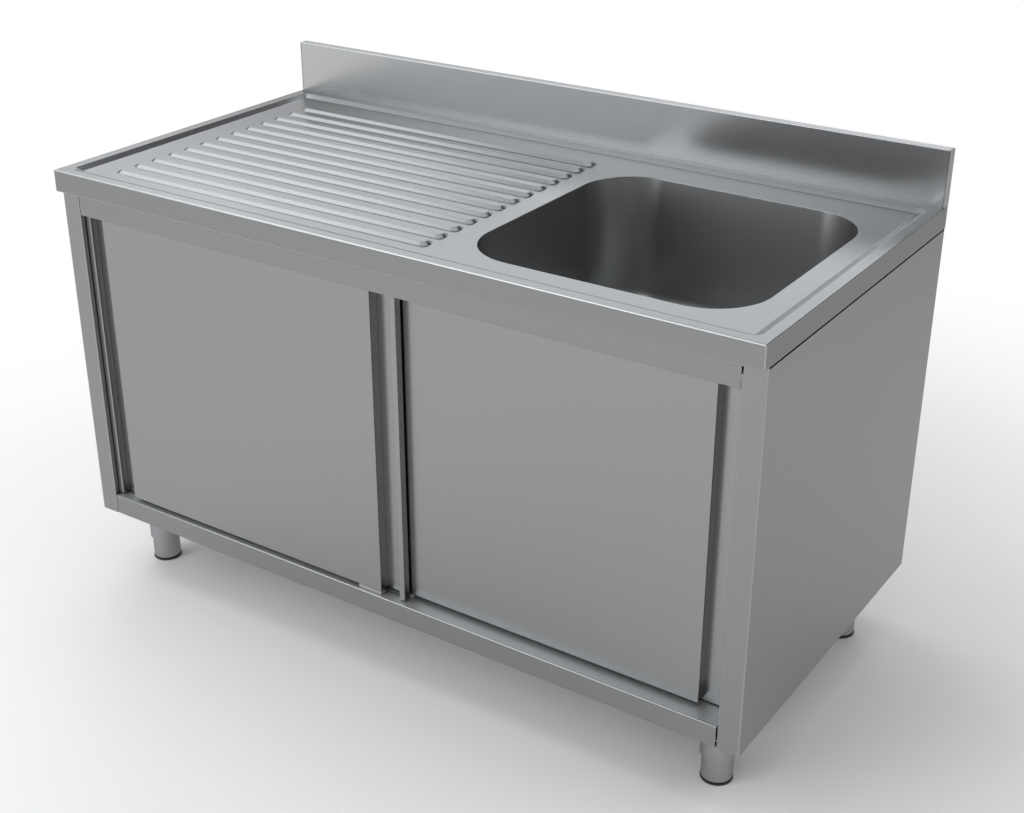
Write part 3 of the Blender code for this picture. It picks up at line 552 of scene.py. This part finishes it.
# waste: dished flange on a tail, pierced strainer, gasket and outlet; heights count from the seat
waste = {
    "seatGap": 0.0003, "bore": 0.0195, "tail": 0.0245, "tailLength": 0.055,
    "flange": 0.036, "flangeHeight": 0.002, "flangeEdge": 0.0012, "flangeSide": 0.0015, "flangeCrown": 0.004,
    "recess": 0.0225, "recessCrown": 0.003, "recessSide": 0.0006, "sink": 0.002, "flangeRound": 0.0003,
    "strainer": 0.0222, "strainerHeight": 0.0015, "strainerSteps": 48, "strainerRound": 0.0003,
    "holes": 8, "hole": 0.003, "holeCircle": 0.0125, "holeSteps": 20, "screwHole": 0.0018, "screwSteps": 16,
    "gasket": 0.038, "gasketTop": -0.0018, "gasketHeight": 0.003, "gasketRound": 0.0006, "thread": 0.0248,
    "coupling": 0.029, "couplingTop": -0.04, "shoulder": -0.0553, "couplingFloor": -0.0613,
    "outletLow": -0.1143, "outlet": 0.02, "outletBore": 0.0175, "outletRound": 0.0008,
}


def makeWaste(size):
    center = wasteCenter + Vector((0, 0, size["seatGap"]))
    rim, recess, height = size["flange"], size["recess"], size["flangeHeight"]
    flange = [
        (size["bore"], -size["tailLength"]), (size["tail"], -size["tailLength"]), (size["tail"], 0.0),
        (rim, 0.0), (rim - size["flangeEdge"], size["flangeSide"]), (rim - size["flangeCrown"], height),
        (recess + size["recessCrown"], height), (recess, size["recessSide"]),
        (recess, -size["sink"]), (size["bore"], -size["sink"]),
    ]
    finishPiece("waste_flange", turnShape(flange, center, size["flangeRound"]), "topSteel", "carcass",
                ["drain_flange"])

    bm = bmesh.new()
    middle = Vector((0, 0, 0))
    rings = [(size["strainer"], middle, size["strainerSteps"])]
    rings.append((size["screwHole"], middle, size["screwSteps"]))
    for index in range(size["holes"]):
        turn = 2 * pi * index / size["holes"]
        spot = Vector((cos(turn), sin(turn), 0)) * size["holeCircle"]
        rings.append((size["hole"], spot, size["holeSteps"]))
    for radius, spot, steps in rings:
        bmesh.ops.create_circle(bm, cap_ends=False, segments=steps, radius=radius,
                                matrix=Matrix.Translation(spot))
    fillBetween(bm, bm.edges[:])
    drawSolid(bm, (0, 0, size["strainerHeight"]))
    softenShape(bm, size["strainerRound"])
    bmesh.ops.translate(bm, verts=bm.verts, vec=center + Vector((0, 0, size["seatGap"] - size["sink"])))
    finishPiece("waste_strainer", bm, "topSteel", "carcass", ["drain_strainer"])

    low, high = size["gasketTop"] - size["gasketHeight"], size["gasketTop"]
    gasket = [(size["thread"], low), (size["gasket"], low), (size["gasket"], high), (size["thread"], high)]
    finishPiece("waste_gasket", turnShape(gasket, center, size["gasketRound"]), "rubber", "carcass",
                ["drain_gasket"])

    # a wide coupling takes the tail, and narrows to the pipe
    outlet = [
        (size["thread"], size["couplingTop"]), (size["thread"], size["shoulder"]),
        (size["outletBore"], size["shoulder"]), (size["outletBore"], size["outletLow"]),
        (size["outlet"], size["outletLow"]), (size["outlet"], size["couplingFloor"]),
        (size["coupling"], size["couplingFloor"]), (size["coupling"], size["couplingTop"]),
    ]
    finishPiece("waste_outlet", turnShape(outlet, center, size["outletRound"]), "outlet", "carcass",
                ["drain_outlet"])


makeWaste(waste)
print("sink unit: bowl and waste fitted")

# carcass sheets, each folded from one strip
carcass = {
    "gauge": 0.001, "bend": 0.002, "front": -0.335, "back": 0.3476, "bottom": 0.127, "top": 0.7867,
    "outer": 0.7, "opening": 0.661, "stileReturn": 0.05, "stileHem": 0.025, "stileSquare": 0.99,
    "backFlange": 0.03, "topFlange": 0.024, "flangeDrop": 0.0005, "flangeInset": 0.004, "flangeShort": 0.0226,
    "sideDrop": 0.002, "seam": 0.002, "weldGap": 0.0003, "baseTop": 0.167, "baseReturn": 0.015,
    "railHem": 0.0021, "railHemHeight": 0.012, "railHemBend": 0.48,
    "footRailWing": 0.006, "footRailBend": 0.0015,
}


def makeSides(size):
    returnY = size["front"] + size["stileReturn"]
    for side, sign in (("left", -1), ("right", 1)):
        node = "side_panel_" + side
        path = [
            (size["opening"] + size["stileHem"], returnY), (size["opening"], returnY),
            (size["opening"], size["front"]), (size["outer"], size["front"]), (size["outer"], size["back"]),
            (size["outer"] - size["backFlange"], size["back"]),
        ]
        path = [(sign * x, y) for x, y in path]
        bm = foldSheet(path, "Z", size["bottom"], size["top"], size["bend"], (sign, 0, 0))
        # the stile's face is painted darker than the rest of the same sheet: painted shade
        stile = bm.faces.layers.float.new("stile")
        for face in bm.faces:
            face[stile] = float(face.normal.y < -size["stileSquare"])
        # the outer sheet stops short of the worktop's lip, and a flange along the top carries the worktop
        for vert in bm.verts:
            if vert.co.z > size["top"] - hair and abs(vert.co.x) > size["outer"] - hair:
                vert.co.z -= size["sideDrop"]
        inner, outer = (sign * (size["outer"] - inset) for inset in (size["topFlange"], size["flangeInset"]))
        strip = flatFace(bm, (inner, returnY + size["gauge"]), (outer, size["back"] - size["flangeShort"]),
                         size["top"] - size["flangeDrop"])
        strip.normal_update()
        if strip.normal.z < 0:
            strip.normal_flip()
        finishPiece("side_sheet_" + side, bm, "sideSteel", "carcass", [node], size["gauge"])


def makeRails(size):
    low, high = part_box("top_rail")
    hem, front = size["railHem"], size["front"]
    path = [(front + hem, low.z + size["railHemHeight"]), (front + hem, low.z), (front, low.z),
            (front, high.z), (high.y, high.z)]
    rail = foldSheet(path, "X", low.x + size["seam"], high.x - size["seam"], hem * size["railHemBend"],
                     (0, -1, 1))
    finishPiece("top_rail_fold", rail, "frameSteel", "carcass", ["top_rail"], size["gauge"])

    low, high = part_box("back_panel")
    path = [(low.y, high.z), (high.y, high.z), (high.y, low.z)]
    back = foldSheet(path, "X", low.x, high.x, size["bend"], (0, 1, 0))
    finishPiece("back_sheet", back, "frameSteel", "carcass", ["back_panel"], size["gauge"])

    for side in ("left", "right"):
        node = "foot_rail_" + side
        low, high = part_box(node)
        wing, rise = size["footRailWing"], high.z
        path = [(high.x, rise), (high.x - wing, rise), (high.x - wing, low.z), (low.x + wing, low.z),
                (low.x + wing, rise), (low.x, rise)]
        rail = foldSheet(path, "Y", low.y, high.y, size["footRailBend"], (0, 0, -1))
        finishPiece("foot_rail_fold_" + side, rail, "frameSteel", "carcass", [node], size["gauge"])


# cabinet floor: a tee-shaped sheet whose front and back edges are folded down and under
def makeFloor(size):
    low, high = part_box("base_panel")
    bm = bmesh.new()
    wide, narrow = high.x, size["opening"] - size["seam"] - size["weldGap"]
    notch = size["front"] + size["stileReturn"] + size["weldGap"]
    right = [(narrow, low.y), (narrow, notch), (wide, notch), (wide, high.y)]
    loop = [bm.verts.new((x, y, size["baseTop"])) for x, y in right + [(-x, y) for x, y in reversed(right)]]
    bm.faces.new(loop)
    bends = []
    for pair, under in (((loop[-1], loop[0]), size["baseReturn"]), ((loop[3], loop[4]), -size["baseReturn"])):
        edge = bm.edges.get(pair)
        for move in ((0, 0, low.z - size["baseTop"]), (0, under, 0)):
            bends.append(edge)
            edge = drawEdges(bm, [edge], move)[0]
    roundEdges(bm, bends, size["bend"])
    # the cabinet floor's top is marked as mill finish: duller, and painted lighter as if lit from the front
    mill = bm.faces.layers.float.new("mill")
    max(bm.faces, key=lambda face: face.calc_area())[mill] = 1.0  # the floor itself
    finishPiece("cabinet_floor", faceSheet(bm, (0, 0, 1)), "frameSteel", "carcass", ["base_panel"],
                size["gauge"])


makeSides(carcass)
makeRails(carcass)
makeFloor(carcass)
print("sink unit: carcass folded")

# sliding doors: front panel with soft edges on a back pan with folded grip lips
door = {
    "gauge": 0.001, "panelRound": 0.0014, "panBend": 0.0016, "lipWidth": 0.0115, "lipSetback": 0.005,
    "skidRound": 0.0012,
}


def makeDoor(size, side):
    body = side + "_door"
    low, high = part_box(side + "_door_panel")
    front, back = low.y, high.y
    panel = plainBlock(low, high)
    openFace(panel, max(panel.faces, key=lambda face: face.calc_center_median().y))
    roundEdges(panel, foldsOf(panel), size["panelRound"])
    finishPiece(body + "_front", faceSheet(panel, (0, -1, 0)), "doorSteel", body, [side + "_door_panel"],
                size["gauge"])

    low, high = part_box(side + "_door_pan")
    lip, inner = front + size["lipSetback"], high.x - size["lipWidth"]
    end = [(inner, back), (inner, lip), (high.x, lip), (high.x, high.y)]
    path = [(low.x + high.x - x, y) for x, y in end] + end[::-1]
    pan = foldSheet(path, "Z", low.z, high.z, size["panBend"], (0, 1, 0))
    finishPiece(body + "_back", pan, "doorSteel", body, [side + "_door_pan"], size["gauge"])

    skid = softBlock(*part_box(side + "_door_skid"), size["skidRound"])
    finishPiece(body + "_glide", skid, "skid", body, [side + "_door_skid"])


# grooved rollers that carry the doors: hub, dished web, rim and groove
roller = {
    "bore": 0.0024, "hub": 0.0042, "hubFoot": 0.0048, "dish": 0.0008, "rimFoot": 0.0022, "rim": 0.0016,
    "tread": 0.007, "groove": 0.0012, "mouth": 0.0016, "round": 0.0002, "steps": 48,
}


def makeRoller(size, side, place):
    node = f"{side}_door_wheel_{place}"
    low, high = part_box(node)
    half, radius = (high.y - low.y) / 2, (high.z - low.z) / 2
    profile = [
        (size["bore"], half), (size["hub"], half), (size["hubFoot"], half - size["dish"]),
        (radius - size["rimFoot"], half - size["dish"]), (radius - size["rim"], half), (radius, half),
        (radius, size["mouth"]), (size["tread"], size["groove"]),
    ]
    wheel = turnShape(bothEnds(profile), (low + high) / 2, size["round"], size["steps"], "Y")
    finishPiece(f"{side}_door_roller_{place}", wheel, "nylon", f"{side}_wheel_{place}", [node])


# rivets that the rollers turn on, headed at both ends
rivet = {"shaft": 0.002, "head": 0.001, "crown": (0.7, 0.6), "round": 0.00015, "steps": 32}


def makeRivet(size, side, place):
    node = f"{side}_door_axle_{place}"
    low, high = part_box(node)
    half, radius, under = (high.y - low.y) / 2, (high.z - low.z) / 2, size["head"]
    crownRadius, crownDrop = size["crown"]
    profile = [
        (0, half), (radius * crownRadius, half), (radius, half - under * crownDrop), (radius, half - under),
        (size["shaft"], half - under),
    ]
    axle = turnShape(bothEnds(profile), (low + high) / 2, size["round"], size["steps"], "Y")
    finishPiece(f"{side}_door_rivet_{place}", axle, "zinc", side + "_door", [node])


# channels on the cabinet floor that the doors' lower edges run in
guide = {"wall": 0.002, "floor": 0.0017, "round": 0.0006}


def makeGuide(size, side):
    node = side + "_door_floor_guide"
    low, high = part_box(node)
    near, far, floorZ = low.y + size["wall"], high.y - size["wall"], low.z + size["floor"]
    outline = [
        (low.y, low.z), (high.y, low.z), (high.y, high.z), (far, high.z), (far, floorZ),
        (near, floorZ), (near, high.z), (low.y, high.z),
    ]
    bm = bmesh.new()
    bm.faces.new([bm.verts.new((low.x, y, z)) for y, z in outline])
    drawSolid(bm, (high.x - low.x, 0, 0))
    finishPiece(side + "_floor_guide", softenShape(bm, size["round"]), "guide", "carcass", [node])


for side in ("left", "right"):
    makeDoor(door, side)
    for place in ("outer", "inner"):
        makeRoller(roller, side, place)
        makeRivet(rivet, side, place)
    makeGuide(guide, side)
print("sink unit: doors hung")

# feet: socket under the carcass, leg with a soft sole edge, black pad
foot = {
    "top": 0.127, "stemBore": 0.0085, "sleeveBore": 0.027, "web": 0.0933, "mouth": 0.049, "socket": 0.03,
    "flange": 0.036, "flangeHeight": 0.003, "socketRound": 0.0008, "leg": 0.0265, "sole": 0.0043,
    "soleEdge": 0.0015, "sleeveTop": 0.093, "stem": 0.008, "stemTop": 0.1265, "legRound": 0.0006,
    "pad": 0.0275, "padHeight": 0.004, "padRound": 0.0009,
}


def makeFoot(size, place):
    low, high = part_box("foot_pad_" + place)
    center = Vector(((low.x + high.x) / 2, (low.y + high.y) / 2, 0))
    flangeZ, sole, leg = size["top"] - size["flangeHeight"], size["sole"], size["leg"]
    socket = [
        (size["stemBore"], size["web"]), (size["sleeveBore"], size["web"]),
        (size["sleeveBore"], size["mouth"]), (size["socket"], size["mouth"]), (size["socket"], flangeZ),
        (size["flange"], flangeZ), (size["flange"], size["top"]), (size["stemBore"], size["top"]),
    ]
    finishPiece("foot_sleeve_" + place, turnShape(socket, center, size["socketRound"]), "sideSteel",
                "carcass", ["foot_socket_" + place])
    post = [
        (0, sole), (leg - size["soleEdge"], sole), (leg, sole + size["soleEdge"]), (leg, size["sleeveTop"]),
        (size["stem"], size["sleeveTop"]), (size["stem"], size["stemTop"]), (0, size["stemTop"]),
    ]
    finishPiece("foot_post_" + place, turnShape(post, center, size["legRound"]), "sideSteel", "foot_" + place,
                ["foot_leg_" + place])
    shoe = [(0, 0), (size["pad"], 0), (size["pad"], size["padHeight"]), (0, size["padHeight"])]
    finishPiece("foot_shoe_" + place, turnShape(shoe, center, size["padRound"]), "pad", "foot_" + place,
                ["foot_pad_" + place])


for place in ("front_left", "front_right", "back_left", "back_right"):
    makeFoot(foot, place)
print("sink unit: feet fitted")

# pieces that keep their solid from the frame
keptNodes = {
    "door_track": "zinc", "backing_board": "board", "worktop_brace": "frameSteel", "drain_locknut": "brass",
}
for side in ("left", "right"):
    for place in ("outer", "inner"):
        keptNodes[f"{side}_door_hanger_{place}"] = "zinc"
for node, finish in keptNodes.items():
    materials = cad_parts[node].data.materials
    for index in range(len(materials)):
        materials[index] = finishes[finish]
    if not materials:
        materials.append(finishes[finish])
print("sink unit: kept pieces finished")

# studio: pale floor, soft lamps, a bright horizon that the steel mirrors
studio = {
    "floorSize": 60.0, "floorTone": 0.88, "shadowReach": 0.9, "mirrorReach": 0.2, "whiteFrom": 2.2,
    "whiteSide": (0.6, 1.3),
    "aim": (0.0, 0.0, 0.7), "lampTint": (0.97, 0.99, 1.03), "floorCast": (0.01, 0.0, -0.02),
    "mirrored": [(0.0, 0.7), (0.14, 0.7), (0.28, 0.12), (1.0, 0.12)],
    "ambient": [(0.0, 0.35), (0.36, 0.35), (0.5, 0.25), (1.0, 0.25)],
    # compass angle, height angle, distance, width, height and brightness of each lamp
    "lamps": {
        "back left softbox": (162, 41, 6.0, 5.0, 3.9, 1.4),
        "left softbox": (214, 42, 6.0, 5.4, 4.0, 1.55),
        "front softbox": (262, 36, 6.0, 5.4, 2.6, 1.3),
        "front low panel": (241.5, 12, 6.5, 3.6, 2.4, 3.6),
        "back panel": (120, 25, 7.0, 7.0, 2.0, 2.1),
        "top panel": (180, 84, 5.0, 4.0, 4.0, 1.2),
        "right panel": (20, 50, 6.0, 4.0, 3.0, 2.0),
    },
}


def raysOf(paint, *kinds):
    rays = [paint.make("LightPath", output="Is " + kind + " Ray") for kind in kinds]
    return sum(rays[1:], rays[0])


def makeStudio(size):
    bm = bmesh.new()
    bmesh.ops.create_grid(bm, x_segments=1, y_segments=1, size=size["floorSize"] / 2)
    mesh = bpy.data.meshes.new("studio_floor")
    bm.to_mesh(mesh)
    bm.free()
    paint = Paint(bpy.data.materials.new("studio floor"))
    paint.surface(BaseColor=(*(size["floorTone"] + part for part in size["floorCast"]), 1.0), Roughness=0.9)
    # away from the unit the floor turns to plain white: for the eye past the shadow, and in the steel
    # nearer by, but not to the right
    place = paint.make("TexCoord", output="Object")
    away = paint.make("VectorMath", {"operation": "LENGTH"}, {0: place}, output="Value")
    fade, mirrorFade = [paint.make("MapRange", {"interpolation_type": "SMOOTHSTEP"}, {
        "Value": away, "From Min": size[reach], "From Max": size["whiteFrom"]})
        for reach in ("shadowReach", "mirrorReach")]
    across = paint.make("SeparateXYZ", None, {"Vector": place}, output="X")
    beside = paint.make("MapRange", {"interpolation_type": "SMOOTHSTEP"}, {
        "Value": across, "From Min": size["whiteSide"][0], "From Max": size["whiteSide"][1],
        "To Min": 1.0, "To Max": 0.0})
    plain = paint.make("Emission", None, {"Color": grey(1.0), "Strength": 1.0})
    shaded = Wire(paint, paint.tree.nodes["Principled BSDF"].outputs[0])
    mirrored = raysOf(paint, "Glossy", "Transmission") * beside * mirrorFade
    seen = raysOf(paint, "Camera") * fade + mirrored
    ground = paint.make("MixShader", None, {0: seen, 1: shaded, 2: plain})
    paint.feed(paint.tree.nodes["Material Output"].inputs["Surface"], ground)
    mesh.materials.append(paint.owner)
    floor = bpy.data.objects.new("studio_floor", mesh)
    scene.collection.objects.link(floor)

    world = bpy.data.worlds.new("studio")
    scene.world = world
    sky = Paint(world)
    way = sky.make("TexCoord", output="Generated")
    height = sky.make("SeparateXYZ", None, {"Vector": way}, output="Z")
    shown, soft = [
        sky.make("ValToRGB", {"stops": [(z, grey(tone)) for z, tone in size[kind]]}, {"Fac": height})
        for kind in ("mirrored", "ambient")]
    light = sky.blend(raysOf(sky, "Glossy", "Transmission"), soft, shown)
    light = sky.blend(raysOf(sky, "Camera"), light, grey(1.0))
    sky.feed(sky.tree.nodes["Background"].inputs["Color"], light)


def softLamp(name, turn, rise, distance, width, height, radiance):
    lamp = bpy.data.lights.new(name, "AREA")
    lamp.shape = "RECTANGLE"
    lamp.size, lamp.size_y = width, height
    lamp.energy = radiance * pi * width * height
    lamp.color = studio["lampTint"]
    turn, rise = radians(turn), radians(rise)
    way = Vector((cos(rise) * cos(turn), cos(rise) * sin(turn), sin(rise)))
    holder = bpy.data.objects.new(name, lamp)
    holder.location = Vector(studio["aim"]) + way * distance
    holder.rotation_euler = (-way).to_track_quat("-Z", "Y").to_euler()
    scene.collection.objects.link(holder)


makeStudio(studio)
for name, setting in studio["lamps"].items():
    softLamp(name, *setting)

view = {
    "sensor": 36.0, "lens": 54.71, "reach": 100.0,
    "place": (1.4794, -2.1279, 1.667), "turn": (1.1173, -0.0004, 0.5903),
}
camera = bpy.data.objects.new("camera", bpy.data.cameras.new("camera"))
camera.data.sensor_fit = "HORIZONTAL"
camera.data.sensor_width = view["sensor"]
camera.data.lens = view["lens"]
camera.data.clip_end = view["reach"]
camera.location = view["place"]
camera.rotation_euler = view["turn"]
scene.collection.objects.link(camera)
scene.camera = camera
scene.view_settings.view_transform = "Standard"
print("sink unit: studio lit")
